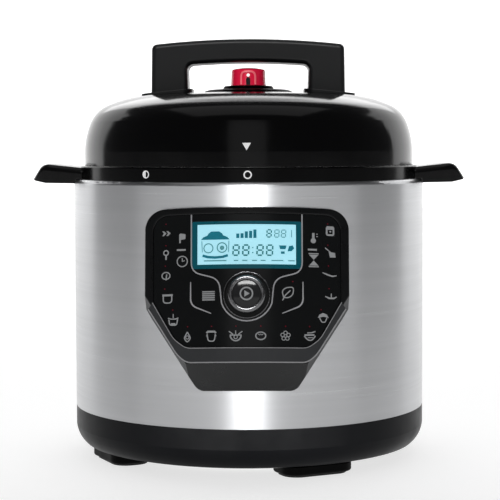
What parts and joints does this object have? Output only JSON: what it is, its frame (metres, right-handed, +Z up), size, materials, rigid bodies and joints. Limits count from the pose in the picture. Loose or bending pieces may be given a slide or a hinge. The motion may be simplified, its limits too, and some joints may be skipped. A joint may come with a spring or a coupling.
{
  "type": "electric pressure cooker",
  "caption": "Round electric pressure cooker: steel body on a plastic base, twist-off lid with bridge handle and release valve, lift-out inner pot, front control panel with knob.",
  "frame": {"origin": "on the resting plane, under the vertical axis of the cooker's round body", "axes": "+Z up; -Y is the front with the control panel; +X is to the right seen from the front"},
  "size_m": [0.356, 0.3435, 0.3427],
  "materials": {
    "base_plastic": "fine matte charcoal",
    "black_plastic": "satin black",
    "gloss_black": "polished black",
    "brushed_steel": "brushed along the height",
    "pressed_steel": "satin pressed sheet",
    "aluminium": "as cast",
    "coated_aluminium": "dark non-stick inside",
    "foot_rubber": "soft matte",
    "silicone": "translucent white silicone",
    "red_clear": "tinted clear red",
    "display_glass": "lit display",
    "screw_steel": "zinc plated",
    "knob_chrome": "satin chrome",
    "circuit_board": "green board",
    "component_plastic": "moulded",
    "wire_sheath": "insulation",
    "ribbon": "flat grey cable",
    "cup_plastic": "smoky clear",
    "brass": "turned",
    "lamp": "red lens",
    "heater_steel": "dull sheath"
  },
  "bodies": {
    "cooker": {"base_housing": "base_plastic", "base_plate": "pressed_steel", "base_screws": "screw_steel", "feet": "base_plastic", "foot_pads": "foot_rubber", "steel_sleeve": "brushed_steel", "upper_ring": "black_plastic", "side_handle_left": "gloss_black", "side_handle_right": "gloss_black", "side_handle_screws": "screw_steel", "outer_pot": "pressed_steel", "heating_plate": "aluminium", "heating_element": "heater_steel", "sensor_bracket": "pressed_steel", "sensor_spring": "screw_steel", "thermal_fuse": "screw_steel", "fuse_clip": "pressed_steel", "pressure_switch": "component_plastic", "power_board": "circuit_board", "board_standoffs": "black_plastic", "relay": "component_plastic", "transformer": "component_plastic", "capacitors": "component_plastic", "terminal_block": "component_plastic", "power_inlet": "black_plastic", "inlet_blades": "brass", "inlet_screws": "screw_steel", "inlet_wires": "wire_sheath", "heater_wires": "wire_sheath", "panel_housing": "base_plastic", "panel_fascia": "gloss_black", "display_window": "display_glass", "display_module": "component_plastic", "display_board": "circuit_board", "indicator_lamps": "lamp", "knob_well": "gloss_black", "encoder": "component_plastic", "ribbon_cable": "ribbon", "cup_rail": "black_plastic"},
    "sealing_ring": {"sealing_ring": "silicone"},
    "lid": {"lid_cover": "gloss_black", "inner_lid": "pressed_steel", "lid_spacers": "pressed_steel", "seal_rack": "pressed_steel", "steam_pipe": "screw_steel", "pipe_nut": "brass", "valve_base": "black_plastic", "filter_cap": "pressed_steel", "float_guide": "silicone", "valve_plate": "gloss_black", "lid_handle": "black_plastic", "handle_bolts": "screw_steel"},
    "pressure_valve": {"pressure_valve": "red_clear", "valve_weight": "screw_steel"},
    "float_valve": {"float_valve": "screw_steel"},
    "inner_pot": {"inner_pot": "coated_aluminium"},
    "knob_ring": {"knob_ring": "knob_chrome"},
    "knob_cap": {"knob_cap": "gloss_black"},
    "sensor_cap": {"sensor_cap": "aluminium"},
    "condensation_cup": {"condensation_cup": "cup_plastic"}
  },
  "joints": [
    {"name": "lid_lift", "type": "slide", "parent": "cooker", "child": "sealing_ring", "axis": [0, 0, 1], "range_m": [0, 0.4]},
    {"name": "lid_twist", "type": "hinge", "parent": "sealing_ring", "child": "lid", "pos_m": [0, 0, 0.24], "axis": [0, 0, 1], "range_deg": [-34, 0]},
    {"name": "valve_turn", "type": "hinge", "parent": "lid", "child": "pressure_valve", "pos_m": [0, 0, 0.306], "axis": [0, 0, 1], "range_deg": [-45, 45]},
    {"name": "float_rise", "type": "slide", "parent": "lid", "child": "float_valve", "axis": [0, 0, 1], "range_m": [0, 0.004]},
    {"name": "inner_pot_lift", "type": "slide", "parent": "cooker", "child": "inner_pot", "axis": [0, 0, 1], "range_m": [0, 0.2]},
    {"name": "knob_spin", "type": "hinge", "parent": "cooker", "child": "knob_ring", "pos_m": [0, -0.15942, 0.14492], "axis": [0, -0.9848, 0.1736], "continuous": true},
    {"name": "knob_press", "type": "slide", "parent": "knob_ring", "child": "knob_cap", "axis": [0, 0.9848, -0.1736], "range_m": [0, 0.001], "stiffness_N_per_m": 2500, "springref_m": -0.0006},
    {"name": "sensor_press", "type": "slide", "parent": "cooker", "child": "sensor_cap", "axis": [0, 0, -1], "range_m": [0, 0.003], "stiffness_N_per_m": 600, "springref_m": -0.004, "deforming": ["sensor_spring"]},
    {"name": "cup_slide", "type": "slide", "parent": "cooker", "child": "condensation_cup", "axis": [0, 0, -1], "range_m": [0, 0.06]}
  ],
  "couplings": [
    {"joint": "inner_pot_lift", "follows": "lid_lift", "ratio": 0.5}
  ]
}
